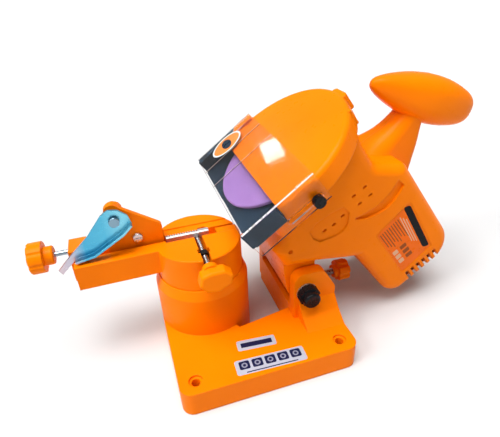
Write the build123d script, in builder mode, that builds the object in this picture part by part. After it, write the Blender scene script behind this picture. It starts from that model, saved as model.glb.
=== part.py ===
from build123d import *
import math
import os

# ---------------------------------------------------------------------------
# Bench chain sharpener. Millimetres, +Z up, +X along the front edge of the
# base away from the chain arm, +Y away from the front edge.
# Origin: the foot of the turntable axis, on the bench.
# ---------------------------------------------------------------------------

# base plate and column
plate_left, plate_right = -38.0, 102.0
plate_front, plate_back = -89.0, -31.0
plate_t = 21.0
column_r, column_h = 38.0, 56.4
shoulder_r, shoulder_h = 35.0, 64.4
leg_left, leg_back = 65.5, 46.0
hole_r = 3.3
hole_y, hole_x1, hole_x2 = -77.5, -25.5, 90.0
cap_r, cap_t = 15.4, 2.5

# head pivot
pivot_x, pivot_z = 76.0, 47.0
pin_r = 5.0
ear_in, ear_out = 34.0, 44.0
ear_top = 65.0
depth_y, depth_z = -2.0, 24.0

# turntable, arm and vice
table_r, table_z0, table_z1 = 34.2, 64.8, 92.3
spigot_r = 12.0
arm_left, arm_front, wall_in = -94.0, -10.0, 2.0
arm_z0 = 72.3
chan_floor, chan_back = 80.0, 17.4
chan_right = -25.4
band_y0, band_y1, band_z = -0.6, 19.2, 91.2
gap_back = 11.2                      # fixed jaw face
jaw_y0, jaw_y1 = 4.6, 8.6            # moving jaw
jaw_x0, jaw_x1 = -24.6, 10.0
jaw_z0, jaw_z1 = 83.4, 93.4
clamp_x, clamp_z, clamp_r = 0.2, 87.6, 2.4
screw_y, screw_z, screw_r = 10.4, 95.4, 2.0

# chain stop
stop_x0, stop_x1 = -68.0, -26.0
stop_y0, stop_y1 = 4.6, 16.6
pawl_x, pawl_z = -59.6, 121.0

# grinding head: wheel axis n points from the wheel into the motor,
# u runs up along the guard, both in the XZ plane
tilt = math.radians(36.2)
wheel_at = (66.0, 0.0, 151.0)
u = (math.cos(tilt), 0.0, math.sin(tilt))
n = (math.sin(tilt), 0.0, -math.cos(tilt))
wheel_r, wheel_t, arbor_r = 50.0, 3.2, 5.0
guard_r, guard_wall = 65.0, 2.2
guard_face, guard_rim = -6.5, 9.6
guard_cut = -23.0
case_c0 = 8.0                        # front face of the gear case
half_w = 40.0                        # half width of the head casing
motor_a = 33.0                       # motor axis offset from the wheel axis
motor_end = 172.0
grip_a, grip_c, grip_len = 89.8, 9.5, 101.6      # near end of the grip axis
grip_da, grip_dc = 0.5716, 0.8205                # its direction
# distance along the axis and radius of the grip
grip_profile = ((0.2, 1.2), (1.2, 3.1), (4.0, 5.5), (10.2, 8.8), (18.3, 12.0), (28, 15.1), (38, 17.6), (50, 19.6), (62, 19.9),
                (74, 18.6), (84, 16.5), (92, 13.6), (97.4, 9.8), (100.2, 6.0), (101.2, 3.0))


def hp(c):
    """Plane across the wheel axis, c millimetres behind the wheel plane.
    Local x runs along u, local y towards the front, the normal into the motor."""
    return Plane(origin=(wheel_at[0] + n[0] * c, 0.0, wheel_at[2] + n[2] * c),
                 x_dir=u, z_dir=n)


def sp(y=0.0):
    """Plane through the head's centre plane, moved to y. Local x is the
    distance a along u, local y is minus the depth c."""
    return Plane(origin=(wheel_at[0], y, wheel_at[2]), x_dir=u, z_dir=(0, -1, 0))


def np_(a):
    """Plane across u, a millimetres up from the wheel axis. Local x is
    minus the depth c."""
    return Plane(origin=(wheel_at[0] + u[0] * a, 0.0, wheel_at[2] + u[2] * a),
                 x_dir=(-n[0], 0, -n[2]), z_dir=u)


def head_xyz(a, b, c):
    return (wheel_at[0] + u[0] * a + n[0] * c, b, wheel_at[2] + u[2] * a + n[2] * c)


def xz(y):
    """Plane facing the front at y, local x = X and local y = Z."""
    return Plane(origin=(0, y, 0), x_dir=(1, 0, 0), z_dir=(0, -1, 0))


def yz(x):
    """Plane facing +X at x, local x = Y and local y = Z."""
    return Plane(origin=(x, 0, 0), x_dir=(0, 1, 0), z_dir=(1, 0, 0))


def soft_square(half, degrees, power=2.7):
    """Point of a rounded square at an angle, half its width from the middle."""
    x, y = math.cos(math.radians(degrees)), math.sin(math.radians(degrees))
    k = half / (abs(x) ** power + abs(y) ** power) ** (1 / power)
    return (k * x, k * y)


def gear_points(teeth, module, phase, slim=0.40, add=0.55, ded=1.0):
    """Trapezoid teeth with running backlash."""
    rp = teeth * module / 2
    pts = []
    for k in range(teeth):
        t0 = 2 * math.pi * (k + phase) / teeth
        w = 2 * math.pi / teeth
        for r, f in ((rp - ded * module, -0.36), (rp + add * module, -0.5 * slim * 0.46),
                     (rp + add * module, 0.5 * slim * 0.46), (rp - ded * module, 0.36)):
            a = t0 + f * w
            pts.append((r * math.cos(a), r * math.sin(a)))
    return pts


os.makedirs("parts", exist_ok=True)
kept = []


def keep(part, name):
    part.label = name
    export_step(part, "parts/" + name + ".step")
    kept.append(name)


# ======================= base ==============================================
with BuildPart() as base_casting:
    # plate with the round-nosed column foot on the left and the leg on the right
    with BuildSketch(Plane.XY):
        with BuildLine():
            Polyline((plate_left, 0), (0, 0), (20, -37.5), (leg_left, -30.0), (leg_left, leg_back),
                     (plate_right, leg_back), (plate_right, plate_front), (plate_left, plate_front), close=True)
        make_face()
    extrude(amount=plate_t)
    fillet(base_casting.edges().filter_by(Axis.Z).group_by(Axis.Y)[0], radius=9)
    fillet(base_casting.edges().filter_by(Axis.Z).group_by(Axis.Y)[-1], radius=6)
    with BuildSketch(Plane.XY):
        Circle(column_r)
    extrude(amount=column_h)
    # sloping shoulder under the turntable
    with BuildSketch(Plane.XY.offset(column_h)):
        Circle(column_r)
    with BuildSketch(Plane.XY.offset(shoulder_h)):
        Circle(shoulder_r)
    loft()
    # front and rear ear of the head bracket
    for y0 in (-ear_in, ear_out):
        with BuildSketch(xz(y0)):
            with BuildLine():
                Polyline((leg_left, 6), (leg_left, ear_top), (91, ear_top), (plate_right, 46),
                         (plate_right, 6), close=True)
            make_face()
            fillet(vertices().group_by(Axis.Y)[-1], radius=9)
            fillet(vertices().sort_by_distance((plate_right, 46))[0], radius=8)
        extrude(amount=ear_out - ear_in)
    # sloping buttress in front of the front ear
    with BuildSketch(yz(69.5)):
        with BuildLine():
            Polyline((-63.5, plate_t - 2), (-63.5, plate_t), (-52.5, 28.8), (-44.0, 38.0), (-42.0, 44.0),
                     (-40, plate_t - 2), close=True)
        make_face()
    extrude(amount=plate_right - 69.5)
    # low web on the left and the wall that carries the depth screw on the right
    with Locations((leg_left + 2, 0, 17)):
        Box(4, 2 * ear_in + 1, 22)
    with Locations((plate_right - 3.5, 0, 22)):
        Box(7, 2 * ear_in + 1, 28)
    # hollow underside, divided by ribs
    with BuildSketch(Plane.XY):
        with Locations((-21.5, -56), (9.5, -63), (40.5, -63), (72, -60)):
            RectangleRounded(27, 34, 4)
    extrude(amount=plate_t - 4.5, mode=Mode.SUBTRACT)
    with BuildSketch(Plane.XY):
        with Locations((83.7, -12), (83.7, 22)):
            RectangleRounded(27, 30, 4)
    extrude(amount=plate_t - 5, mode=Mode.SUBTRACT)
    with BuildSketch(Plane.XY):
        Circle(33.5)
        Circle(16.5, mode=Mode.SUBTRACT)
        with PolarLocations(0, 6):
            Rectangle(80, 3.2, mode=Mode.SUBTRACT)
    extrude(amount=52, mode=Mode.SUBTRACT)
    # room for the bolt head under the turntable, and the bore of its spigot
    with BuildSketch(Plane.XY):
        Circle(15.5)
    extrude(amount=22, mode=Mode.SUBTRACT)
    with BuildSketch(Plane.XY.offset(20)):
        Circle(4.3)
    extrude(amount=20, mode=Mode.SUBTRACT)
    with BuildSketch(Plane.XY.offset(30)):
        Circle(spigot_r + 0.06)
    extrude(amount=50, mode=Mode.SUBTRACT)
    # bench screw holes
    with Locations((hole_x1, hole_y, plate_t), (hole_x2, hole_y, plate_t)):
        CounterBoreHole(radius=hole_r, counter_bore_radius=5.2, counter_bore_depth=2.0, depth=plate_t + 2)
    # pivot bores in the two ears
    with BuildSketch(xz(-60)):
        with Locations((pivot_x, pivot_z)):
            Circle(pin_r + 0.03)
    extrude(amount=-120, mode=Mode.SUBTRACT)
    # tapped hole of the depth screw
    with BuildSketch(yz(90)):
        with Locations((depth_y, depth_z)):
            Circle(3.05)
    extrude(amount=20, mode=Mode.SUBTRACT)
keep(base_casting.part, "base_casting")

with BuildPart() as foot_cap:
    Cylinder(cap_r, cap_t, align=(Align.CENTER, Align.CENTER, Align.MIN))
    with BuildSketch(Plane.XY.offset(cap_t)):
        Circle(cap_r)
        Circle(cap_r - 1.6, mode=Mode.SUBTRACT)
    extrude(amount=4)
keep(foot_cap.part, "foot_cap")

with BuildPart() as pivot_bolt:
    with BuildSketch(xz(-54)):
        with Locations((pivot_x, pivot_z)):
            Circle(pin_r)
    extrude(amount=-99.5)
    with BuildSketch(xz(51.4)):
        with Locations((pivot_x, pivot_z)):
            RegularPolygon(9.2, 6)
    extrude(amount=6)
    chamfer(pivot_bolt.edges().group_by(Axis.Y)[0], length=0.8)
keep(pivot_bolt.part, "pivot_bolt")

with BuildPart() as pivot_washers:
    for y in (-ear_out - 0.05, ear_out + 1.35):
        with BuildSketch(xz(y)):
            with Locations((pivot_x, pivot_z)):
                Circle(8.8)
                Circle(pin_r + 0.06, mode=Mode.SUBTRACT)
        extrude(amount=1.3)
keep(pivot_washers.part, "pivot_washers")

with BuildPart() as pivot_knob:
    with BuildSketch(xz(-45.4)):
        with Locations((pivot_x, pivot_z)):
            Circle(8.8)
            with PolarLocations(9.9, 8):
                Circle(2.0, mode=Mode.SUBTRACT)
    extrude(amount=6.2)
    with BuildSketch(xz(-51.6)):
        with Locations((pivot_x, pivot_z)):
            Circle(7.0)
    extrude(amount=5.6)
    fillet(pivot_knob.edges().group_by(Axis.Y)[0], radius=1.8)
    with BuildSketch(xz(-45.4)):
        with Locations((pivot_x, pivot_z)):
            Circle(pin_r + 0.04)
    extrude(amount=9.0, mode=Mode.SUBTRACT)
keep(pivot_knob.part, "pivot_knob")

# ======================= depth screw =======================================
with BuildPart() as depth_screw:
    with BuildSketch(yz(86.7)):
        with Locations((depth_y, depth_z)):
            Circle(3.0)
    extrude(amount=46.7)
    chamfer(depth_screw.edges().group_by(Axis.X)[0], length=0.8)
keep(depth_screw.part, "depth_screw")

with BuildPart() as depth_knob:
    with BuildSketch(yz(122.4)):
        with Locations((depth_y, depth_z)):
            Circle(6.0)
    extrude(amount=4.0)
    with BuildSketch(yz(126.0)):
        with Locations((depth_y, depth_z)):
            Circle(9.8)
            with PolarLocations(11.2, 6):
                Circle(2.8, mode=Mode.SUBTRACT)
    extrude(amount=11.0)
    fillet(depth_knob.edges().group_by(Axis.X)[-1], radius=1.2)
    with BuildSketch(yz(122.0)):
        with Locations((depth_y, depth_z)):
            Circle(3.03)
    extrude(amount=11.45, mode=Mode.SUBTRACT)
keep(depth_knob.part, "depth_knob")

# ======================= turntable =========================================
with BuildPart() as turntable:
    with BuildSketch(Plane.XY.offset(table_z0)):
        Circle(table_r)
    extrude(amount=table_z1 - table_z0)
    fillet(turntable.edges().group_by(Axis.Z)[-1], radius=1.0)
    with BuildSketch(Plane.XY.offset(30.6)):
        Circle(spigot_r)
    extrude(amount=table_z0 - 30.6)
    # chain arm: thick front wall, floor, low rear wall
    with Locations(Location(((arm_left - 10) / 2, (arm_front + 22) / 2, (arm_z0 + table_z1) / 2))):
        Box(-arm_left - 10, 22 - arm_front, table_z1 - arm_z0)
    # end block of the adjusting screw
    with Locations((-90.5, 12.5, (arm_z0 + 99.0) / 2)):
        Box(13, 19, 99.0 - arm_z0)
    # channel in which the chain stop slides
    with Locations(((-84.0 + chan_right) / 2, (wall_in + chan_back) / 2, chan_floor + 25)):
        Box(chan_right + 84.0, chan_back - wall_in, 50, mode=Mode.SUBTRACT)
    with Locations(((chan_right - 84.0) / 2, 20, table_z1 + 3)):
        Box(chan_right + 84.0, 8, 10, mode=Mode.SUBTRACT)
    # shallow band across the table top in line with the channel
    with Locations(((chan_right + 40) / 2, (band_y0 + band_y1) / 2, band_z + 5)):
        Box(40 - chan_right, band_y1 - band_y0, 10, mode=Mode.SUBTRACT)
    # recess of the moving jaw and the chain slot through to the right edge
    with Locations(((-25.6 + 16.2) / 2, (jaw_y0 - 3.2 + gap_back) / 2, 83.2 + 10)):
        Box(41.8, gap_back - jaw_y0 + 3.2, 20, mode=Mode.SUBTRACT)
    with Locations((28, (jaw_y1 + gap_back) / 2, 83.2 + 10)):
        Box(30, gap_back - jaw_y1, 20, mode=Mode.SUBTRACT)
    # groove of the clamp bolt, with a pocket for its nut
    with Locations((clamp_x, -20, clamp_z - 3.0 + 15)):
        Box(6.6, 46, 30, mode=Mode.SUBTRACT)
    with Locations((clamp_x, -20.8, clamp_z - 4.2 + 15)):
        Box(9.2, 5.4, 30, mode=Mode.SUBTRACT)
    # bore of the adjusting screw, tapped hole of the lock screw, small oil slot
    with BuildSketch(yz(-100)):
        with Locations((screw_y, screw_z)):
            Circle(screw_r + 0.06)
    extrude(amount=20, mode=Mode.SUBTRACT)
    with BuildSketch(Plane.XY.offset(30)):
        Circle(4.05)
    extrude(amount=24, mode=Mode.SUBTRACT)
    with Locations((5.6, 13.2, table_z1)):
        Box(6.4, 1.8, 18, mode=Mode.SUBTRACT)
keep(turntable.part, "turntable")

with BuildPart() as table_bolt:
    with BuildSketch(Plane.XY.offset(19.9)):
        Circle(4.0)
    extrude(amount=30)
    with BuildSketch(Plane.XY.offset(14.4)):
        RegularPolygon(7.4, 6)
    extrude(amount=5.5)
keep(table_bolt.part, "table_bolt")

with BuildPart() as table_washer:
    with BuildSketch(Plane.XY.offset(20.0)):
        Circle(10.5)
        Circle(4.06, mode=Mode.SUBTRACT)
    extrude(amount=1.8)
keep(table_washer.part, "table_washer")

# ======================= vice ==============================================
with BuildPart() as moving_jaw:
    with BuildSketch(Plane.XY.offset(jaw_z0)):
        with BuildLine():
            tooth = 2.0
            pts = [(jaw_x0, jaw_y0), (jaw_x1, jaw_y0), (jaw_x1, jaw_y1)]
            x = 1.6
            while x - tooth > jaw_x0:
                pts += [(x, jaw_y1), (x - tooth * 0.5, jaw_y1 - 2.7)]
                x -= tooth
            pts += [(jaw_x0, jaw_y1)]
            Polyline(*pts, close=True)
        make_face()
    extrude(amount=jaw_z1 - jaw_z0)
    chamfer(moving_jaw.edges().group_by(Axis.Z)[-1].filter_by(Axis.X).sort_by(Axis.Y)[0], length=0.8)
keep(moving_jaw.part, "moving_jaw")

with BuildPart() as clamp_bolt:
    with BuildSketch(xz(jaw_y0 - 0.05)):
        with Locations((clamp_x, clamp_z)):
            Circle(clamp_r)
    extrude(amount=51)
    with BuildSketch(xz(jaw_y0 - 0.05)):
        with Locations((clamp_x, clamp_z)):
            Circle(3.4)
    extrude(amount=2.0)
keep(clamp_bolt.part, "clamp_bolt")

with BuildPart() as clamp_nut:
    with BuildSketch(xz(-18.4)):
        with Locations((clamp_x, clamp_z)):
            RegularPolygon(4.3, 6)
            Circle(clamp_r + 0.05, mode=Mode.SUBTRACT)
    extrude(amount=4.8)
keep(clamp_nut.part, "clamp_nut")

with BuildPart() as clamp_knob:
    # paddle-shaped thumb knob
    with BuildSketch(xz(-38.8)):
        with Locations((clamp_x, clamp_z)):
            Circle(6.2)
    extrude(amount=5.0)
    with BuildSketch(xz(-42.0)):
        with BuildLine():
            Polyline((clamp_x - 8.5, clamp_z + 2.4), (clamp_x - 2, clamp_z + 4.4), (clamp_x + 9, clamp_z + 4.4),
                     (clamp_x + 15.2, clamp_z - 1.0), (clamp_x + 14, clamp_z - 8.5), (clamp_x + 3.5, clamp_z - 14.2),
                     (clamp_x - 6, clamp_z - 12.5), (clamp_x - 10.6, clamp_z - 6.0), close=True)
        make_face()
        fillet(vertices(), radius=3.0)
    extrude(amount=9.0)
    fillet(clamp_knob.edges().group_by(Axis.Y)[0], radius=2.4)
    with BuildSketch(xz(-38.4)):
        with Locations((clamp_x, clamp_z)):
            Circle(clamp_r + 0.03)
    extrude(amount=8.2, mode=Mode.SUBTRACT)
keep(clamp_knob.part, "clamp_knob")

# ======================= chain stop ========================================
with BuildPart() as stop_carriage:
    with BuildSketch(xz(stop_y0 + 4.4)):
        with BuildLine():
            Polyline((stop_x0, 80.5), (stop_x1, 80.5), (stop_x1, 107.2), (-54.0, 126.6), (-58.8, 131.4),
                     (-65.6, 129.4), (-66.6, 121.0), (stop_x0, 100.0), close=True)
        make_face()
        fillet(vertices().sort_by_distance((-58.8, 131.4))[0], radius=4.0)
        fillet(vertices().sort_by_distance((-65.6, 129.4))[0], radius=4.0)
        fillet(vertices().sort_by_distance((stop_x1, 107.2))[0], radius=3.0)
    extrude(amount=4.4)
    # thick foot with the tapped bore
    with Locations(((stop_x0 + stop_x1) / 2, (stop_y0 + stop_y1) / 2, (80.5 + 102) / 2)):
        Box(stop_x1 - stop_x0, stop_y1 - stop_y0, 102 - 80.5)
    # boss behind the pawl
    with BuildSketch(xz(stop_y1)):
        with Locations((pawl_x, pawl_z)):
            Circle(7.0)
    extrude(amount=stop_y1 - stop_y0 - 4)
    with BuildSketch(yz(-70)):
        with Locations((screw_y, screw_z)):
            Circle(screw_r + 0.06)
    extrude(amount=36, mode=Mode.SUBTRACT)
    with BuildSketch(xz(stop_y0 + 8.0)):
        with Locations((pawl_x, pawl_z)):
            Circle(2.52)
    extrude(amount=8.1, mode=Mode.SUBTRACT)
    with BuildSketch(xz(stop_y0 + 2.4)):
        with Locations((-45.5, 99.6)):
            Circle(2.02)
    extrude(amount=2.6, mode=Mode.SUBTRACT)
keep(stop_carriage.part, "stop_carriage")

with BuildPart() as stop_screw:
    with BuildSketch(xz(stop_y0)):
        with Locations((-45.5, 99.6)):
            Circle(4.0)
    extrude(amount=2.2)
    fillet(stop_screw.edges().group_by(Axis.Y)[0], radius=0.9)
    with BuildSketch(xz(stop_y0 + 2.2)):
        with Locations((-45.5, 99.6)):
            Circle(2.0)
    extrude(amount=2.2)
    with Locations((-45.5, stop_y0 - 2.2, 99.6)):
        Box(5.6, 1.6, 1.0, mode=Mode.SUBTRACT)
keep(stop_screw.part, "stop_screw")

with BuildPart() as pawl_pin:
    with BuildSketch(xz(stop_y0 + 7.9)):
        with Locations((pawl_x, pawl_z)):
            Circle(2.5)
    extrude(amount=7.9 + 8.6)
    with BuildSketch(xz(stop_y0)):
        with Locations((pawl_x, pawl_z)):
            Circle(4.6)
    extrude(amount=4.6)
    with BuildSketch(xz(-2.9)):
        with Locations((pawl_x, pawl_z)):
            Circle(4.0)
    extrude(amount=2.4)
    fillet(pawl_pin.edges().group_by(Axis.Y)[0], radius=0.7)
keep(pawl_pin.part, "pawl_pin")

with BuildPart() as stop_pawl:
    # folded steel finger, flipped back off the chain and resting on the arm
    with BuildSketch(xz(-0.6)):
        with BuildLine():
            Polyline((-47.6, 116.5), (-54.5, 110.0), (-77.5, 96.6), (-93.5, 93.6), (-103.5, 84.2), (-105.6, 88.2),
                     (-97.0, 97.0), (-80.5, 112.0), (-68.6, 126.6), (-63.0, 130.4), (-56.0, 129.4),
                     (-49.5, 123.6), close=True)
        make_face()
        fillet(vertices().sort_by_distance((-63.0, 130.4))[0], radius=4)
        fillet(vertices().sort_by_distance((-56.0, 129.4))[0], radius=4)
        fillet(vertices().sort_by_distance((-49.5, 123.6))[0], radius=3)
    extrude(amount=1.6)
    with BuildSketch(xz(-0.6)):
        with BuildLine():
            Polyline((-47.6, 116.5), (-54.5, 110.0), (-77.5, 96.6), (-92.0, 93.9), (-92.3, 95.5), (-78.3, 98.1),
                     (-55.5, 111.4), (-48.8, 117.7), close=True)
        make_face()
    extrude(amount=6.6)
    with BuildSketch(xz(0)):
        with Locations((pawl_x, pawl_z)):
            Circle(2.56)
    extrude(amount=4, mode=Mode.SUBTRACT)
keep(stop_pawl.part, "stop_pawl")

with BuildPart() as adjusting_screw:
    with BuildSketch(yz(-124.0)):
        with Locations((screw_y, screw_z)):
            Circle(screw_r)
    extrude(amount=81.6)
    # thrust collar inside the end block
    with BuildSketch(yz(-83.7)):
        with Locations((screw_y, screw_z)):
            Circle(3.0)
    extrude(amount=1.5)
keep(adjusting_screw.part, "adjusting_screw")

with BuildPart() as adjusting_knob:
    with BuildSketch(yz(-114.6)):
        with Locations((screw_y, screw_z)):
            Circle(7.2)
    extrude(amount=7.1)
    fillet(adjusting_knob.edges().group_by(Axis.X)[-1], radius=1.5)
    with BuildSketch(yz(-125.0)):
        with Locations((screw_y, screw_z)):
            Circle(12.0)
            with PolarLocations(13.6, 8):
                Circle(2.4, mode=Mode.SUBTRACT)
    extrude(amount=10.5)
    fillet(adjusting_knob.edges().group_by(Axis.X)[0], radius=1.5)
    with BuildSketch(yz(-124.1)):
        with Locations((screw_y, screw_z)):
            Circle(screw_r + 0.03)
    extrude(amount=30, mode=Mode.SUBTRACT)
keep(adjusting_knob.part, "adjusting_knob")

# ======================= head: pivot arm ===================================
piv_a = (pivot_x - wheel_at[0]) * u[0] + (pivot_z - wheel_at[2]) * u[2]
piv_c = (pivot_x - wheel_at[0]) * n[0] + (pivot_z - wheel_at[2]) * n[2]
arm_w = 33.4
with BuildPart() as pivot_arm:
    with BuildSketch(xz(arm_w)):
        with Locations((pivot_x, pivot_z)):
            Circle(13.0)
    extrude(amount=2 * arm_w)
    with BuildSketch(sp(arm_w)):
        with BuildLine():
            Polyline((-52.3, -62.15), (-31.2, -79.25), (-40.0, -91.5), (piv_a, -piv_c), (-65.8, -86.0),
                     (-58.5, -72.0), close=True)
        make_face()
    extrude(amount=2 * arm_w)
    # tail that meets the depth screw
    with BuildSketch(xz(8)):
        with BuildLine():
            Polyline((pivot_x - 7, pivot_z), (pivot_x - 5, 24.5), (pivot_x + 3.0, 23.2), (pivot_x + 9, pivot_z),
                     close=True)
        make_face()
    extrude(amount=16)
    with BuildSketch(xz(60)):
        with Locations((pivot_x, pivot_z)):
            Circle(pin_r + 0.06)
    extrude(amount=120, mode=Mode.SUBTRACT)
    # relief round the middle of the pin
    with BuildSketch(xz(24)):
        with Locations((pivot_x, pivot_z)):
            Circle(8.0)
    extrude(amount=48, mode=Mode.SUBTRACT)
keep(pivot_arm.part, "pivot_arm")

# ======================= head: casing halves ===============================
guard_screw_at = ((44.0, 27.0), (44.0, -27.0), (-28.0, 27.0), (-28.0, -27.0))
casing_screw_at = ((-41.5, 51.5), (61.0, 150.0), (4.0, 158.0))
switch_a, switch_c = 33.0, 57.4
with BuildPart() as casing_body:
    with BuildSketch(sp(half_w)):
        with BuildLine():
            Polyline((-38, -case_c0), (52, -case_c0), (50, -42), (70, -62), (70, -motor_end), (-4, -motor_end),
                     (-4, -105), (-12, -98), (-31, -79), (-52, -62), (-50, -44), (-38, -35), close=True)
        make_face()
        fillet(vertices().sort_by_distance((70, -motor_end))[0], radius=24)
        fillet(vertices().sort_by_distance((-4, -motor_end))[0], radius=14)
        fillet(vertices().sort_by_distance((50, -42))[0], radius=8)
        fillet(vertices().sort_by_distance((70, -62))[0], radius=8)
    extrude(amount=2 * half_w)
    front_edges = casing_body.faces().sort_by(Axis.Y)[0].edges()
    rear_edges = casing_body.faces().sort_by(Axis.Y)[-1].edges()
    fillet(front_edges + rear_edges, radius=9)
    # neck
    for a, c0, c1, b in ((48, 43, 113, 30), (64, 46, 106, 20.5), (74, 47, 97, 16), (84, 47.5, 88, 14),
                         (94, 46.5, 79, 13), (104, 45, 68, 12), (114, 44, 64, 12)):
        with BuildSketch(np_(a)):
            with Locations((-(c0 + c1) / 2, 0)):
                RectangleRounded(c1 - c0, 2 * b, 0.8 * min(b, (c1 - c0) / 2, 18))
    loft()
    # palm grip across the top of the neck, softly square in section
    for s_, r_ in grip_profile:
        with BuildSketch(Plane(origin=head_xyz(grip_a + grip_da * s_, 0, grip_c + grip_dc * s_),
                               x_dir=(0.3245, 0, 0.946), z_dir=(0.946, 0, -0.3245))):
            with BuildLine():
                Spline(*[soft_square(0.95 * r_, 22.5 * k) for k in range(16)], periodic=True)
            make_face()
    loft()
    # gear space, plate seat and motor space
    with BuildSketch(hp(20)):
        Circle(30.0)
        with Locations((33, 0)):
            Circle(14.0)
        with Locations((24, 0)):
            Rectangle(24, 26)
    extrude(amount=16.1, mode=Mode.SUBTRACT)
    with BuildSketch(hp(36)):
        with Locations((14.3, 0)):
            RectangleRounded(64, 60, 10)
    extrude(amount=11.1, mode=Mode.SUBTRACT)
    with BuildSketch(hp(47)):
        with Locations((motor_a, 0)):
            Circle(22.0)
    extrude(amount=3, mode=Mode.SUBTRACT)
    with BuildSketch(hp(49)):
        with Locations((motor_a, 0)):
            Circle(28.2)
    extrude(amount=16, mode=Mode.SUBTRACT)
    with BuildSketch(hp(62.6)):
        with Locations((motor_a, 0)):
            Circle(33.6)
    extrude(amount=83.4, mode=Mode.SUBTRACT)
    with BuildSketch(hp(146)):
        with Locations((motor_a, 0)):
            Circle(25)
    extrude(amount=18, mode=Mode.SUBTRACT)
    # front bearing bore and spindle hole
    with BuildSketch(hp(10)):
        Circle(13.04)
    extrude(amount=11, mode=Mode.SUBTRACT)
    with BuildSketch(hp(0)):
        Circle(9.0)
    extrude(amount=12, mode=Mode.SUBTRACT)
    # tapped holes of the inner guard
    with BuildSketch(hp(7)):
        with Locations(*[(a, b) for a, b in guard_screw_at]):
            Circle(1.53)
    extrude(amount=10, mode=Mode.SUBTRACT)
    # air slots through the end wall, and notches in line with them on its front edge
    for k in range(6):
        with BuildSketch(hp(160)):
            with Locations((20.5 + 6.0 * k, 0)):
                SlotOverall(56, 3.0, rotation=90)
        extrude(amount=20, mode=Mode.SUBTRACT)
        with BuildSketch(sp(-42)):
            with Locations((20.5 + 6.0 * k, -166.75)):
                Rectangle(3.2, 20.0)
        extrude(amount=-10.5, mode=Mode.SUBTRACT)
    # front face: recessed panel, crescent recess and rating panel
    with BuildSketch(sp(-half_w)):
        with BuildLine():
            Polyline((12.5, -50.5), (1.4, -47), (-11.3, -45.4), (-18.7, -47.5), (-20.5, -55), (-18.2, -61.9),
                     (-10.7, -66), (-4.2, -68.7), (1.8, -68.8), (7.0, -66.9), (13.4, -59.0), close=True)
        make_face()
    extrude(amount=-1.2, mode=Mode.SUBTRACT)
    with BuildSketch(sp(-half_w)):
        with BuildLine():
            Spline((13.7, -67.5), (23.1, -70.2), (33, -72.2), (45.7, -70.8), (57.8, -66.4))
            Line((57.8, -66.4), (59.5, -74.0))
            Spline((59.5, -74.0), (50.6, -78.7), (40.1, -81.4), (30.1, -79.5), (19.7, -74.4), (13.7, -67.5))
        make_face()
    extrude(amount=-2.4, mode=Mode.SUBTRACT)
    with BuildSketch(sp(-half_w)):
        with BuildLine():
            Polyline((18.5, -96.5), (16.5, -154.5), (51.5, -151.0), (56.5, -92.0), close=True)
        make_face()
        fillet(vertices(), radius=2.5)
    extrude(amount=-0.6, mode=Mode.SUBTRACT)
    for a, c in ((34.0, 49.4), (23.7, 49.0), (34.0, 59.1), (23.8, 58.7), (8.1, 57.7), (-1.0, 58.7), (-9.8, 57.3)):
        with BuildSketch(sp(-half_w)):
            with Locations((a, -c)):
                SlotOverall(3.6, 2.0)
        extrude(amount=-6, mode=Mode.SUBTRACT)
    # moulding dimple on the front, casing screw pockets on the rear half
    with BuildSketch(sp(-half_w)):
        with Locations((-39.9, -50.0)):
            Circle(1.8)
    extrude(amount=-2, mode=Mode.SUBTRACT)
    for a, c in casing_screw_at:
        with BuildSketch(sp(half_w + 1)):
            with Locations((a, -c)):
                Circle(3.6)
        extrude(amount=15, mode=Mode.SUBTRACT)
        with BuildSketch(sp(half_w)):
            with Locations((a, -c)):
                Circle(1.8)
        extrude(amount=56, mode=Mode.SUBTRACT)
    # switch opening and cord inlet in the rear side
    with BuildSketch(sp(half_w + 1)):
        with Locations((switch_a, -switch_c)):
            Rectangle(13.2, 19.2)
    extrude(amount=10.8, mode=Mode.SUBTRACT)
    with BuildSketch(sp(half_w + 1)):
        with Locations((20.0, -153.6)):
            Circle(6.6)
    extrude(amount=26, mode=Mode.SUBTRACT)

with BuildPart() as housing_front:
    add(casing_body.part)
    split(bisect_by=Plane.XZ, keep=Keep.TOP)
with BuildPart() as housing_rear:
    add(casing_body.part)
    split(bisect_by=Plane.XZ, keep=Keep.BOTTOM)
keep(housing_front.part, "housing_front")
keep(housing_rear.part, "housing_rear")

with BuildPart() as casing_screws:
    for a, c in casing_screw_at:
        with BuildSketch(sp(26.1)):
            with Locations((a, -c)):
                Circle(3.3)
        extrude(amount=-2.4)
        with BuildSketch(sp(28.5)):
            with Locations((a, -c)):
                Rectangle(4.4, 0.9)
                Rectangle(0.9, 4.4)
        extrude(amount=1.4, mode=Mode.SUBTRACT)
        with BuildSketch(sp(-15)):
            with Locations((a, -c)):
                Circle(1.76)
        extrude(amount=-41.2)
keep(casing_screws.part, "casing_screws")

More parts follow.
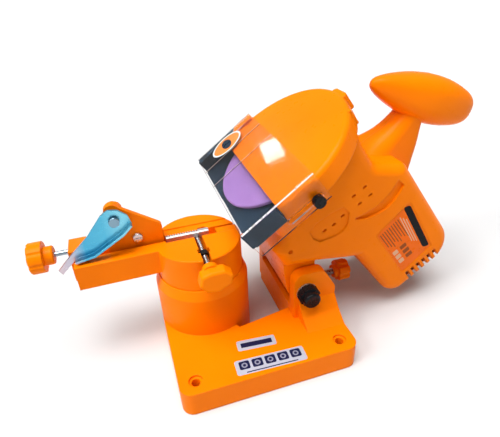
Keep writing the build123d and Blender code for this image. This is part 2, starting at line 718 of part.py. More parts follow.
# ======================= head: guards and shield ===========================
with BuildPart() as wheel_guard:
    with BuildSketch(hp(guard_face)):
        Circle(guard_r)
        with Locations((guard_cut - 50, 0)):
            Rectangle(100, 140, mode=Mode.SUBTRACT)
    extrude(amount=guard_rim - guard_face)
    outer = wheel_guard.faces().sort_by(Axis(head_xyz(0, 0, 0), n))[0]
    fillet(outer.edges().sort_by(SortBy.LENGTH)[-1], radius=4)
    # seam tab and a small nub on the rim
    with BuildSketch(hp(guard_face + 1.6)):
        with Locations((guard_r - 1.7, 4.0)):
            RectangleRounded(8.0, 18, 3.0)
        with Locations((56.9, 30.6)):
            Circle(1.6)
    extrude(amount=guard_rim - guard_face - 1.6)
    with BuildSketch(hp(guard_face + guard_wall)):
        Circle(guard_r - guard_wall)
    extrude(amount=30, mode=Mode.SUBTRACT)
    # step of the rim over the gear case
    with BuildSketch(hp(7.6)):
        with Locations((20, 0)):
            Rectangle(110, 2 * half_w + 2)
    extrude(amount=5, mode=Mode.SUBTRACT)
    with BuildSketch(sp(80)):
        with Locations((0, -6.9)):
            Circle(1.93)
    extrude(amount=160, mode=Mode.SUBTRACT)
keep(wheel_guard.part, "wheel_guard")

with BuildPart() as inner_guard:
    with BuildSketch(hp(4.0)):
        Circle(62.2)
        with Locations((-74, 0)):
            Rectangle(100, 140, mode=Mode.SUBTRACT)
        with BuildLine():
            Polyline((-23.4, -64.4), (-23.4, 64.4), (-50.0, 64.4), (-54.0, 60.4), (-54.0, -60.4), (-50.0, -64.4),
                     close=True)
        make_face()
    extrude(amount=2.0)
    # side walls and the stand-off bosses
    for b in (63.4, -63.4):
        with BuildSketch(hp(-8.0)):
            with Locations((-38.7, b)):
                Rectangle(29.0, 2.0)
        extrude(amount=13)
    with BuildSketch(hp(6.0)):
        with Locations(*[(a, b) for a, b in guard_screw_at]):
            Circle(5.0)
    extrude(amount=1.95)
    with BuildSketch(hp(0)):
        Circle(15)
        with Locations((-64, 0)):
            Rectangle(40, 18)
    extrude(amount=10, mode=Mode.SUBTRACT)
    with BuildSketch(hp(3)):
        with Locations(*[(a, b) for a, b in guard_screw_at]):
            Circle(1.56)
    extrude(amount=10, mode=Mode.SUBTRACT)
    with BuildSketch(hp(3)):
        with Locations(*[(a, b) for a, b in guard_screw_at]):
            Circle(3.05)
    extrude(amount=2.8, mode=Mode.SUBTRACT)
keep(inner_guard.part, "inner_guard")

with BuildPart() as guard_screws:
    with BuildSketch(hp(4.1)):
        with Locations(*[(a, b) for a, b in guard_screw_at]):
            Circle(3.0)
    extrude(amount=1.6)
    with BuildSketch(hp(5.6)):
        with Locations(*[(a, b) for a, b in guard_screw_at]):
            Circle(1.5)
    extrude(amount=10.6)
keep(guard_screws.part, "guard_screws")

with BuildPart() as clear_shield:
    with BuildSketch(np_(-52.0)):
        with Locations((-1.2, 0)):
            Rectangle(23.6, 134.2)
        fillet(vertices().group_by(Axis.X)[-1], radius=3.0)
        with Locations((-2.0 - 0.5, 0)):
            Rectangle(23.0, 131.0, mode=Mode.SUBTRACT)
        with Locations((10.7, -8), (10.7, -35)):
            Rectangle(0.4, 1.2)
    extrude(amount=60.5)
    with BuildSketch(sp(80)):
        with Locations((-9.5, -6.9)):
            SlotOverall(29.6, 4.6)
    extrude(amount=160, mode=Mode.SUBTRACT)
keep(clear_shield.part, "clear_shield")

with BuildPart() as shield_knobs:
    for side in (-1, 1):
        with BuildSketch(sp(67.5 * side)):
            with Locations((0, -6.9)):
                Circle(4.2)
                with PolarLocations(4.85, 10):
                    Circle(0.75, mode=Mode.SUBTRACT)
        extrude(amount=-4.8 * side)
        with BuildSketch(sp(63.2 * side)):
            with Locations((0, -6.9)):
                Circle(1.9)
        extrude(amount=-4.4 * side)
keep(shield_knobs.part, "shield_knobs")

# ======================= head: wheel and spindle ===========================
with BuildPart() as grinding_wheel:
    with BuildSketch(hp(-0.6)):
        Circle(wheel_r)
        Circle(arbor_r + 0.04, mode=Mode.SUBTRACT)
    extrude(amount=wheel_t)
    rim = grinding_wheel.edges().filter_by(GeomType.CIRCLE).sort_by(SortBy.RADIUS)[-2:]
    fillet(rim, radius=1.2)
keep(grinding_wheel.part, "grinding_wheel")

with BuildPart() as wheel_flanges:
    with BuildSketch(hp(-3.2)):
        Circle(13)
        Circle(arbor_r + 0.04, mode=Mode.SUBTRACT)
    extrude(amount=2.56)
    with BuildSketch(hp(2.64)):
        Circle(13)
        Circle(arbor_r + 0.04, mode=Mode.SUBTRACT)
    extrude(amount=2.8)
    with BuildSketch(hp(-4)):
        Circle(7.6)
    extrude(amount=1.85, mode=Mode.SUBTRACT)
keep(wheel_flanges.part, "wheel_flanges")

with BuildPart() as wheel_screw:
    with BuildSketch(hp(-3.7)):
        Circle(7.2)
    extrude(amount=1.55)
    chamfer(wheel_screw.edges().filter_by(GeomType.CIRCLE).sort_by(Axis(head_xyz(0, 0, 0), n))[0], length=0.5)
    with BuildSketch(hp(-4)):
        RegularPolygon(2.6, 6)
    extrude(amount=1.4, mode=Mode.SUBTRACT)
    with BuildSketch(hp(-2.2)):
        Circle(2.5)
    extrude(amount=16)
keep(wheel_screw.part, "wheel_screw")

with BuildPart() as spindle:
    with BuildSketch(hp(-2.1)):
        Circle(arbor_r)
    extrude(amount=48)
    with BuildSketch(hp(5.5)):
        Circle(7.4)
    extrude(amount=4.4)
    with BuildSketch(hp(-3)):
        Circle(2.53)
    extrude(amount=18, mode=Mode.SUBTRACT)
keep(spindle.part, "spindle")

with BuildPart() as spindle_gear:
    with BuildSketch(hp(24)):
        Polygon(*gear_points(55, 1.0, 0.0), align=None)
        with PolarLocations(18, 6):
            Circle(5.0, mode=Mode.SUBTRACT)
    extrude(amount=8)
    with BuildSketch(hp(21)):
        Circle(9)
    extrude(amount=14)
    with BuildSketch(hp(20)):
        Circle(arbor_r + 0.03)
    extrude(amount=18, mode=Mode.SUBTRACT)
keep(spindle_gear.part, "spindle_gear")

# ======================= head: bearings, plate and motor ===================
with BuildPart() as spindle_bearings:
    for c0 in (10.05, 36.2):
        with BuildSketch(hp(c0)):
            Circle(13.0)
            Circle(arbor_r + 0.03, mode=Mode.SUBTRACT)
        extrude(amount=7.9)
        for c1 in (c0, c0 + 7.4):
            with BuildSketch(hp(c1)):
                Circle(10.8)
                Circle(7.2, mode=Mode.SUBTRACT)
            extrude(amount=0.5, mode=Mode.SUBTRACT)
keep(spindle_bearings.part, "spindle_bearings")

with BuildPart() as bearing_plate:
    with BuildSketch(hp(36.15)):
        with Locations((14.3, 0)):
            RectangleRounded(63.8, 59.8, 9.9)
    extrude(amount=9.9)
    with BuildSketch(hp(36)):
        Circle(13.04)
    extrude(amount=8.2, mode=Mode.SUBTRACT)
    with BuildSketch(hp(36)):
        Circle(7.0)
        with Locations((motor_a, 0)):
            Circle(7.4)
    extrude(amount=12, mode=Mode.SUBTRACT)
    with BuildSketch(hp(39.0)):
        with Locations((motor_a, 0)):
            Circle(11.04)
    extrude(amount=10, mode=Mode.SUBTRACT)
keep(bearing_plate.part, "bearing_plate")

with BuildPart() as motor_bearings:
    for c0, r_out, r_in, w in ((39.1, 11.0, 4.03, 6.9), (139.5, 9.5, 3.53, 6.0)):
        with BuildSketch(hp(c0)):
            with Locations((motor_a, 0)):
                Circle(r_out)
                Circle(r_in, mode=Mode.SUBTRACT)
        extrude(amount=w)
        for c1 in (c0, c0 + w - 0.5):
            with BuildSketch(hp(c1)):
                with Locations((motor_a, 0)):
                    Circle(r_out - 2.0)
                    Circle(r_in + 1.8, mode=Mode.SUBTRACT)
            extrude(amount=0.5, mode=Mode.SUBTRACT)
keep(motor_bearings.part, "motor_bearings")

with BuildPart() as armature_shaft:
    with BuildSketch(hp(24)):
        with Locations((motor_a, 0)):
            Polygon(*gear_points(11, 1.0, 0.0), align=None)
    extrude(amount=9)
    with BuildSketch(hp(22)):
        with Locations((motor_a, 0)):
            Circle(4.0)
    extrude(amount=117)
    with BuildSketch(hp(139)):
        with Locations((motor_a, 0)):
            Circle(3.5)
    extrude(amount=11)
keep(armature_shaft.part, "armature_shaft")

with BuildPart() as fan:
    with BuildSketch(hp(50)):
        with Locations((motor_a, 0)):
            Circle(26.5)
    extrude(amount=1.5)
    with BuildSketch(hp(50)):
        with Locations((motor_a, 0)):
            Circle(8.5)
    extrude(amount=11)
    with BuildSketch(hp(51)):
        with Locations((motor_a, 0)):
            with PolarLocations(16.5, 14):
                Rectangle(18, 1.2)
    extrude(amount=9.5)
    with BuildSketch(hp(49)):
        with Locations((motor_a, 0)):
            Circle(4.04)
    extrude(amount=14, mode=Mode.SUBTRACT)
keep(fan.part, "fan")

with BuildPart() as armature_core:
    with BuildSketch(hp(70)):
        with Locations((motor_a, 0)):
            Circle(17.0)
            with PolarLocations(15.4, 12):
                Rectangle(5.0, 1.6, mode=Mode.SUBTRACT)
    extrude(amount=40)
    for c0 in (64.0, 109.9):
        with BuildSketch(hp(c0)):
            with Locations((motor_a, 0)):
                Circle(14.0)
        extrude(amount=6.1)
    with BuildSketch(hp(60)):
        with Locations((motor_a, 0)):
            Circle(4.04)
    extrude(amount=60, mode=Mode.SUBTRACT)
keep(armature_core.part, "armature_core")

with BuildPart() as commutator:
    with BuildSketch(hp(118)):
        with Locations((motor_a, 0)):
            Circle(11.0)
            with PolarLocations(10.9, 24):
                Rectangle(1.4, 0.5, mode=Mode.SUBTRACT)
            Circle(4.04, mode=Mode.SUBTRACT)
    extrude(amount=14)
keep(commutator.part, "commutator")

with BuildPart() as stator:
    with BuildSketch(hp(68)):
        with Locations((motor_a, 0)):
            Circle(33.4)
            Circle(17.6, mode=Mode.SUBTRACT)
            with PolarLocations(22.6, 2, start_angle=0):
                Rectangle(8.4, 26, mode=Mode.SUBTRACT)
    extrude(amount=44)
keep(stator.part, "stator")

with BuildPart() as field_coils:
    for ang in (0, 180):
        with BuildSketch(hp(63)):
            with Locations((motor_a, 0)):
                with PolarLocations(22.7, 1, start_angle=ang):
                    Rectangle(7.6, 25)
        extrude(amount=54)
keep(field_coils.part, "field_coils")

with BuildPart() as brush_holders:
    for b in (22.4, -22.4):
        with BuildSketch(hp(119)):
            with Locations((motor_a, b)):
                Rectangle(10, 21.4)
        extrude(amount=12)
        with BuildSketch(hp(121)):
            with Locations((motor_a, b - 1.2 * (1 if b > 0 else -1))):
                Rectangle(6.3, 21.4)
        extrude(amount=8, mode=Mode.SUBTRACT)
keep(brush_holders.part, "brush_holders")

with BuildPart() as brushes:
    for b in (17.6, -17.6):
        with BuildSketch(hp(121.2)):
            with Locations((motor_a, b)):
                Rectangle(6.0, 12.6)
        extrude(amount=7.6)
keep(brushes.part, "brushes")

with BuildPart() as brush_springs:
    for side in (1, -1):
        with BuildLine() as wire:
            Helix(pitch=1.3, height=6.5, radius=2.1, center=head_xyz(motor_a, 24.4 * side, 125),
                  direction=(0, side, 0))
        with BuildSketch(Plane(origin=wire.line @ 0, z_dir=wire.line % 0)):
            Circle(0.3)
        sweep(path=wire.line)
keep(brush_springs.part, "brush_springs")

with BuildPart() as end_frame:
    with BuildSketch(hp(137)):
        with Locations((motor_a, 0)):
            Circle(33.4)
            with PolarLocations(21.5, 6):
                Circle(7.5, mode=Mode.SUBTRACT)
    extrude(amount=8.8)
    with BuildSketch(hp(136)):
        with Locations((motor_a, 0)):
            Circle(5.0)
    extrude(amount=12, mode=Mode.SUBTRACT)
    with BuildSketch(hp(139.4)):
        with Locations((motor_a, 0)):
            Circle(9.54)
    extrude(amount=12, mode=Mode.SUBTRACT)
keep(end_frame.part, "end_frame")

# ======================= head: switch and cord inlet =======================
with BuildPart() as switch_body:
    with BuildSketch(sp(30.6)):
        with Locations((switch_a, -switch_c)):
            Rectangle(13.0, 19.0)
    extrude(amount=-9.6)
    with BuildSketch(sp(40.1)):
        with Locations((switch_a, -switch_c)):
            RectangleRounded(15.4, 21.4, 1.5)
    extrude(amount=-1.4)
    with BuildSketch(sp(35.6)):
        with Locations((switch_a, -switch_c)):
            Rectangle(9.6, 15.6)
    extrude(amount=-8, mode=Mode.SUBTRACT)
    with BuildSketch(np_(switch_a - 5.7)):
        with Locations((-switch_c, -39.0)):
            Circle(1.03)
    extrude(amount=11.4, mode=Mode.SUBTRACT)
keep(switch_body.part, "switch_body")

with BuildPart() as switch_rocker:
    # profile across the rocking axis, shown in the off position
    tip = math.radians(7)
    with BuildSketch(np_(switch_a - 4.5)):
        with BuildLine():
            pts = [(-2.2, -1.6), (-6.9, 1.0), (-6.9, 3.0), (0, 2.0), (6.9, 3.0), (6.9, 1.0), (2.2, -1.6)]
            Polyline(*[(-switch_c + x * math.cos(tip) - y * math.sin(tip),
                        -(39.0 + x * math.sin(tip) + y * math.cos(tip))) for x, y in pts], close=True)
        make_face()
    extrude(amount=9.0)
    # pivot pins
    with BuildSketch(np_(switch_a - 5.6)):
        with Locations((-switch_c, -39.0)):
            Circle(1.0)
    extrude(amount=11.2)
keep(switch_rocker.part, "switch_rocker")

with BuildPart() as cord_gland:
    with BuildSketch(sp(22)):
        with Locations((20, -153.6)):
            Circle(6.55)
    extrude(amount=-18.2)
    with BuildSketch(sp(40.1)):
        with Locations((20, -153.6)):
            Circle(9.0)
    extrude(amount=-2.6)
    with BuildSketch(sp(42.6)):
        with Locations((20, -153.6)):
            Circle(6.4)
    with BuildSketch(sp(58)):
        with Locations((20, -153.6)):
            Circle(4.6)
    loft()
    with BuildSketch(sp(20)):
        with Locations((20, -153.6)):
            Circle(3.2)
    extrude(amount=-40, mode=Mode.SUBTRACT)
keep(cord_gland.part, "cord_gland")

print("built", len(kept), kept)
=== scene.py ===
import math

import bmesh
import bpy
from mathutils import Matrix, Vector


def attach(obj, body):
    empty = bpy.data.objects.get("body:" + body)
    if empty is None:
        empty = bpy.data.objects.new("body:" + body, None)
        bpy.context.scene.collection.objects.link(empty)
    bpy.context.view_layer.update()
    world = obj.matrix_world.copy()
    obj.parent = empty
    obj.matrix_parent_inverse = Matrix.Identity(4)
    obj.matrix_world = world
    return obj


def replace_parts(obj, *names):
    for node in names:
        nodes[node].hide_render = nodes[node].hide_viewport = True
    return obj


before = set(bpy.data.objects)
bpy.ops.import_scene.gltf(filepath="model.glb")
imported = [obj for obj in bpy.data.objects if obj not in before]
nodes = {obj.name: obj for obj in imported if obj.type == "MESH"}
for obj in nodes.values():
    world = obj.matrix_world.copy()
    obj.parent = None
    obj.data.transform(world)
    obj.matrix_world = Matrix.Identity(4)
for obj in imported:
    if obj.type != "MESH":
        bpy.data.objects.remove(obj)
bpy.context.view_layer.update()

# ---------------------------------------------------------------------------
# head frame: W is the wheel's centre, u runs up along the guard, n points
# from the wheel into the motor
# ---------------------------------------------------------------------------
TILT = math.radians(36.2)
W = Vector((0.066, 0.0, 0.151))
U = Vector((math.cos(TILT), 0.0, math.sin(TILT)))
N = Vector((math.sin(TILT), 0.0, -math.cos(TILT)))


def head(a, b, c):
    """Head coordinates in millimetres to the frame, in metres."""
    return W + U * (a / 1000) + Vector((0, b / 1000, 0)) + N * (c / 1000)


# ---------------------------------------------------------------------------
# materials
# ---------------------------------------------------------------------------
class Mat:
    """A node material built up from small steps. Coordinates are Object
    coordinates, which are metres in the shared frame."""

    def __init__(self, name, color, rough, metal=0.0, spec=0.5):
        self.m = bpy.data.materials.new(name)
        self.m.use_nodes = True
        self.t = self.m.node_tree
        self.t.nodes.clear()
        self.out = self.t.nodes.new("ShaderNodeOutputMaterial")
        self.b = self.t.nodes.new("ShaderNodeBsdfPrincipled")
        self.t.links.new(self.b.outputs[0], self.out.inputs[0])
        self.b.inputs["Base Color"].default_value = (*color, 1)
        self.b.inputs["Roughness"].default_value = rough
        self.b.inputs["Metallic"].default_value = metal
        self.b.inputs["Specular IOR Level"].default_value = spec
        self.co = self.t.nodes.new("ShaderNodeTexCoord").outputs["Object"]
        self.color = color
        self.normal = None
        self.m.diffuse_color = (*color, 1)

    def node(self, kind, **values):
        n = self.t.nodes.new(kind)
        for k, v in values.items():
            if hasattr(n, k):
                setattr(n, k, v)
        return n

    def noise(self, scale, detail=4.0, rough=0.55, stretch=None, seed=0.0, distort=0.0):
        m = self.node("ShaderNodeMapping")
        self.t.links.new(self.co, m.inputs["Vector"])
        m.inputs["Location"].default_value = (seed, seed * 0.37, seed * 0.71)
        if stretch:
            m.inputs["Scale"].default_value = stretch
        t = self.node("ShaderNodeTexNoise")
        self.t.links.new(m.outputs[0], t.inputs["Vector"])
        t.inputs["Scale"].default_value = scale
        t.inputs["Detail"].default_value = detail
        t.inputs["Roughness"].default_value = rough
        t.inputs["Distortion"].default_value = distort
        return t.outputs["Fac"]

    def ramp(self, fac, stops):
        r = self.node("ShaderNodeValToRGB")
        e = r.color_ramp.elements
        while len(e) < len(stops):
            e.new(0.5)
        for el, (p, c) in zip(e, stops):
            el.position = p
            el.color = (*c, 1) if len(c) == 3 else c
        self.t.links.new(fac, r.inputs[0])
        return r.outputs[0]

    def span(self, fac, lo, hi, a=0.0, b=1.0):
        m = self.node("ShaderNodeMapRange")
        self.t.links.new(fac, m.inputs[0])
        m.inputs[1].default_value = a
        m.inputs[2].default_value = b
        m.inputs[3].default_value = lo
        m.inputs[4].default_value = hi
        return m.outputs[0]

    def tint(self, fac, lo, hi):
        """Base colour runs from lo to hi with fac."""
        r = self.ramp(fac, [(0.28, lo), (0.72, hi)])
        self.t.links.new(r, self.b.inputs["Base Color"])
        return r

    def rough(self, fac, lo, hi):
        self.t.links.new(self.span(fac, lo, hi, 0.3, 0.7), self.b.inputs["Roughness"])

    def bump(self, height, strength, distance):
        n = self.node("ShaderNodeBump")
        n.inputs["Strength"].default_value = strength
        n.inputs["Distance"].default_value = distance
        self.t.links.new(height, n.inputs["Height"])
        if self.normal is not None:
            self.t.links.new(self.normal, n.inputs["Normal"])
        self.normal = n.outputs[0]
        self.t.links.new(self.normal, self.b.inputs["Normal"])

    def bevel(self, radius, samples=6):
        n = self.node("ShaderNodeBevel")
        n.samples = samples
        n.inputs["Radius"].default_value = radius
        self.normal = n.outputs[0]
        self.t.links.new(self.normal, self.b.inputs["Normal"])

    def mix(self, fac, a, b):
        m = self.node("ShaderNodeMix")
        m.data_type = "RGBA"
        self.t.links.new(fac, m.inputs[0])
        for sock, v in ((m.inputs[6], a), (m.inputs[7], b)):
            if isinstance(v, tuple):
                sock.default_value = (*v, 1)
            else:
                self.t.links.new(v, sock)
        return m.outputs[2]


def edges(mat, radius, base, painted_highlight, amount=0.5):
    """Painted highlight: slightly paler along rounded-over edges, broken up by noise. The mask is
    where the softened normal leaves the surface's own."""
    bev = mat.node("ShaderNodeBevel")
    bev.samples = 6
    bev.inputs["Radius"].default_value = radius
    geo = mat.node("ShaderNodeNewGeometry")
    dot = mat.node("ShaderNodeVectorMath")
    dot.operation = "DOT_PRODUCT"
    mat.t.links.new(bev.outputs[0], dot.inputs[0])
    mat.t.links.new(geo.outputs["Normal"], dot.inputs[1])
    e = mat.span(dot.outputs["Value"], amount, 0.0, 0.72, 0.97)
    broken = mat.node("ShaderNodeMath")
    broken.operation = "MULTIPLY"
    mat.t.links.new(e, broken.inputs[0])
    mat.t.links.new(mat.span(mat.noise(260, 3, seed=9), 0.15, 1.0, 0.38, 0.62), broken.inputs[1])
    c = mat.mix(broken.outputs[0], base, painted_highlight)
    mat.t.links.new(c, mat.b.inputs["Base Color"])
    mat.normal = bev.outputs[0]
    mat.t.links.new(mat.normal, mat.b.inputs["Normal"])


def orange(name, hi, lo, rough_lo, rough_hi, coat, peel, bevel, grain=900, cloud_scale=16):
    m = Mat(name, hi, rough_lo, spec=0.045)
    m.b.inputs["Coat Weight"].default_value = coat
    m.b.inputs["Coat Roughness"].default_value = 0.16
    base = m.ramp(m.noise(cloud_scale, 3, seed=2), [(0.3, lo), (0.7, hi)])
    # painted highlight along rounded edges: paler, yellower orange
    edges(m, bevel, base, (1.0, 0.29, 0.01))
    m.rough(m.noise(210, 2, seed=5), rough_lo, rough_hi)
    m.bump(m.noise(grain, 2, 0.5), peel, 0.00025)
    m.bump(m.noise(46, 2, 0.4, seed=3), 0.08, 0.0008)
    return m


M = {}
M["orange_plastic"] = orange("orange_plastic", (0.95, 0.212, 0.0), (0.88, 0.182, 0.0), 0.26, 0.38, 0.03, 0.08, 0.0016)
M["orange_cast"] = orange("orange_cast", (0.95, 0.210, 0.0), (0.86, 0.172, 0.0), 0.30, 0.44, 0.03, 0.28, 0.0009, 620, 11)
M["orange_knob"] = orange("orange_knob", (0.96, 0.230, 0.0), (0.90, 0.195, 0.0), 0.30, 0.42, 0.03, 0.10, 0.0010)


def steel(name, color, lo, hi, stretch, bevel=0.0003, scale=500, grime=(0.30, 0.30, 0.31)):
    m = Mat(name, color, lo, metal=1.0)
    if bevel:
        m.bevel(bevel, 4)
    brush = m.noise(scale, 3, 0.7, stretch=stretch)
    stain = m.noise(60, 4, seed=4)
    m.tint(stain, tuple(c * 0.82 for c in color), color)
    m.rough(brush, lo, hi)
    m.bump(brush, 0.16, 0.00012)
    return m


M["steel"] = steel("steel", (0.70, 0.70, 0.72), 0.22, 0.36, (1, 1, 0.12))
M["steel_x"] = steel("steel_x", (0.70, 0.70, 0.72), 0.22, 0.36, (0.12, 1, 1))
M["pawl_steel"] = steel("pawl_steel", (0.34, 0.68, 0.84), 0.24, 0.40, (0.25, 1, 1), 0.0004, 360)
m = M["pawl_steel"]
sep = m.node("ShaderNodeSeparateXYZ")
m.t.links.new(m.co, sep.inputs[0])
# blue steel along its length, with a painted reflection (pinkish-grey at the tip, low X) and a painted highlight
# (paler blue at the high-X end)
along = m.span(sep.outputs[0], 0.0, 1.0, -0.104, -0.056)
m.t.links.new(m.ramp(along, [(0.0, (0.66, 0.55, 0.60)), (0.22, (0.50, 0.52, 0.64)), (0.42, (0.09, 0.44, 0.66)),
                             (0.75, (0.11, 0.49, 0.70)), (1.0, (0.24, 0.64, 0.80))]), m.b.inputs["Base Color"])
M["jaw_steel"] = steel("jaw_steel", (0.93, 0.90, 0.88), 0.40, 0.55, (0.12, 1, 1))
M["pin_steel"] = steel("pin_steel", (0.26, 0.40, 0.50), 0.26, 0.42, (1, 0.3, 1), 0.0003, 420)
M["blue_steel"] = steel("blue_steel", (0.40, 0.58, 0.68), 0.24, 0.38, (0.12, 1, 1))


def threaded(name, color=(0.58, 0.57, 0.58)):
    """Steel of a cut thread: darker where the noise says grease has stayed."""
    m = Mat(name, color, 0.3, metal=1.0)
    m.tint(m.noise(180, 4, seed=11), tuple(c * 0.55 for c in color), color)
    m.rough(m.noise(420, 3), 0.22, 0.38)
    m.bump(m.noise(900, 3, 0.6), 0.12, 0.0001)
    return m


M["thread"] = threaded("thread")
M["thread_blue"] = threaded("thread_blue", (0.46, 0.58, 0.66))


def dark(name, color, lo, hi, grain, strength=0.18, coat=0.0, bevel=0.0006):
    m = Mat(name, color, lo, spec=0.16)
    m.b.inputs["Coat Weight"].default_value = coat
    if bevel:
        m.bevel(bevel, 4)
    m.tint(m.noise(40, 4, seed=6), tuple(c * 0.75 for c in color), tuple(min(1, c * 1.25) for c in color))
    m.rough(m.noise(260, 2), lo, hi)
    m.bump(m.noise(grain, 2), strength, 0.0002)
    return m


M["black_plastic"] = dark("black_plastic", (0.007, 0.0075, 0.009), 0.20, 0.32, 1400, 0.12)
M["guard_black"] = dark("guard_black", (0.016, 0.036, 0.066), 0.32, 0.46, 1100)
M["nut_black"] = dark("nut_black", (0.010, 0.009, 0.009), 0.25, 0.40, 900, 0.2)
M["rubber"] = dark("rubber", (0.012, 0.012, 0.012), 0.6, 0.8, 2200, 0.4)

# abrasive: pale violet bond with lighter and darker grains
m = Mat("abrasive", (0.34, 0.18, 0.53), 0.85)
grain = m.node("ShaderNodeTexVoronoi")
grain.feature = "F1"
m.t.links.new(m.co, grain.inputs["Vector"])
grain.inputs["Scale"].default_value = 2300
speck = m.ramp(grain.outputs["Color"], [(0.0, (0.25, 0.12, 0.43)), (0.5, (0.345, 0.185, 0.54)), (1.0, (0.49, 0.32, 0.69))])
cloud = m.ramp(m.noise(45, 3, seed=1), [(0.3, (0.315, 0.16, 0.50)), (0.7, (0.365, 0.20, 0.56))])
half = m.node("ShaderNodeMix")
half.data_type = "RGBA"
half.inputs[0].default_value = 0.45
m.t.links.new(cloud, half.inputs[6])
m.t.links.new(speck, half.inputs[7])
m.t.links.new(half.outputs[2], m.b.inputs["Base Color"])
m.bump(grain.outputs["Distance"], 0.5, 0.0002)
m.bump(m.noise(900, 3), 0.35, 0.0002)
M["abrasive"] = m

# painted highlight: paler, partly clear strips along the bends of the clear sheet
m = Mat("bend_highlight", (0.93, 0.90, 0.90), 0.25)
m.b.inputs["Transmission Weight"].default_value = 0.55
m.b.inputs["IOR"].default_value = 1.3
m.tint(m.noise(60, 3, seed=12), (0.88, 0.84, 0.84), (0.98, 0.96, 0.96))
m.rough(m.noise(160, 3), 0.22, 0.40)
m.bump(m.noise(500, 2), 0.08, 0.0001)
M["bend_highlight"] = m

# painted highlight lines along the folds of the clear sheet
m = Mat("crease_highlight", (0.62, 0.48, 0.42), 0.3, spec=0.3)
m.b.inputs["Transmission Weight"].default_value = 0.62
m.b.inputs["IOR"].default_value = 1.2
m.tint(m.noise(60, 3, seed=13), (0.58, 0.44, 0.39), (0.68, 0.54, 0.48))
m.rough(m.noise(160, 3), 0.25, 0.40)
m.bump(m.noise(500, 2), 0.08, 0.0001)
M["crease_highlight"] = m

# clear sheet plastic
m = Mat("clear_plastic", (0.995, 0.985, 0.965), 0.0)
m.b.inputs["Transmission Weight"].default_value = 1.0
m.b.inputs["IOR"].default_value = 1.23
m.b.inputs["Specular IOR Level"].default_value = 0.5
m.tint(m.noise(35, 3, seed=7), (0.985, 0.975, 0.955), (1.0, 0.992, 0.975))
m.rough(m.noise(60, 4, seed=7), 0.035, 0.06)
m.bump(m.noise(14, 2, 0.4, seed=8), 0.05, 0.0006)
M["clear_plastic"] = m

M["copper"] = steel("copper", (0.78, 0.38, 0.22), 0.28, 0.42, (1, 1, 1))
M["alu"] = steel("alu", (0.75, 0.76, 0.78), 0.30, 0.45, (1, 1, 1))


def label(name, color, rough=0.4):
    m = Mat(name, color, rough, spec=0.10)
    m.tint(m.noise(90, 3), tuple(c * 0.92 for c in color), color)
    m.rough(m.noise(300, 2), rough * 0.85, rough * 1.15)
    m.bump(m.noise(1500, 2), 0.08, 0.0001)
    return m


M["label_light"] = label("label_light", (0.40, 0.42, 0.50))
M["edge_light"] = label("edge_light", (0.86, 0.82, 0.80), 0.2)
M["label_blue"] = label("label_blue", (0.009, 0.012, 0.050))
M["label_disc"] = label("label_disc", (0.24, 0.25, 0.34))
M["label_pale"] = label("label_pale", (0.78, 0.42, 0.24))
M["label_black"] = label("label_black", (0.003, 0.003, 0.004), 0.25)
M["label_rule"] = label("label_rule", (0.30, 0.070, 0.010), 0.45)
M["label_white"] = label("label_white", (0.82, 0.82, 0.82), 0.3)
M["label_orange"] = label("label_orange", (0.90, 0.150, 0.002), 0.3)
M["label_dark"] = label("label_dark", (0.010, 0.022, 0.040), 0.3)
# painted shade for the floors of the notches
M["vent_shade"] = label("vent_shade", (0.10, 0.018, 0.002), 0.8)
M["oval_edge"] = label("oval_edge", (0.60, 0.69, 0.71), 0.3)
M["oval_orange"] = label("oval_orange", (0.80, 0.23, 0.045), 0.3)

look = {
    "base_casting": "orange_cast", "foot_cap": "steel", "pivot_bolt": "steel", "pivot_washers": "steel",
    "pivot_knob": "black_plastic", "depth_screw": "thread", "depth_knob": "orange_knob", "turntable": "orange_cast",
    "table_bolt": "steel", "table_washer": "steel", "moving_jaw": "jaw_steel", "clamp_bolt": "thread",
    "clamp_nut": "nut_black", "clamp_knob": "orange_knob", "stop_carriage": "orange_cast", "stop_screw": "steel",
    "pawl_pin": "pin_steel", "stop_pawl": "pawl_steel", "adjusting_screw": "blue_steel", "adjusting_knob": "orange_knob",
    "pivot_arm": "orange_plastic", "housing_front": "orange_plastic", "housing_rear": "orange_plastic",
    "casing_screws": "steel", "wheel_guard": "orange_plastic", "inner_guard": "guard_black", "guard_screws": "steel",
    "clear_shield": "clear_plastic", "shield_knobs": "black_plastic", "grinding_wheel": "abrasive",
    "wheel_flanges": "steel", "wheel_screw": "steel", "spindle": "steel", "spindle_gear": "steel",
    "spindle_bearings": "steel", "bearing_plate": "alu", "motor_bearings": "steel", "armature_shaft": "steel",
    "fan": "black_plastic", "armature_core": "steel", "commutator": "copper", "stator": "steel",
    "field_coils": "copper", "brush_holders": "copper", "brushes": "black_plastic", "brush_springs": "steel",
    "end_frame": "alu", "switch_body": "black_plastic", "switch_rocker": "black_plastic", "cord_gland": "rubber",
}
for name, o in nodes.items():
    mat = M[look[name]].m
    if not o.material_slots:
        o.data.materials.append(mat)
    for s in o.material_slots:
        s.link = "DATA"
        s.material = mat


# ---------------------------------------------------------------------------
# helpers for the added pieces
# ---------------------------------------------------------------------------
def add(name, bm, material, body, smooth=False):
    me = bpy.data.meshes.new(name)
    bmesh.ops.recalc_face_normals(bm, faces=bm.faces)
    bm.to_mesh(me)
    bm.free()
    if smooth:
        for p in me.polygons:
            p.use_smooth = True
    o = bpy.data.objects.new(name, me)
    bpy.context.scene.collection.objects.link(o)
    me.materials.append(M[material].m)
    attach(o, body)
    return o


def patch(name, outline, thick, place, material, body):
    """A thin sticker: outline is a list of (x, y) in millimetres, place maps
    (x, y, height) to the frame."""
    bm = bmesh.new()
    low = [bm.verts.new(place(x, y, 0)) for x, y in outline]
    high = [bm.verts.new(place(x, y, thick)) for x, y in outline]
    bm.faces.new(high)
    bm.faces.new(low[::-1])
    for i in range(len(outline)):
        j = (i + 1) % len(outline)
        bm.faces.new((low[i], low[j], high[j], high[i]))
    return add(name, bm, material, body)


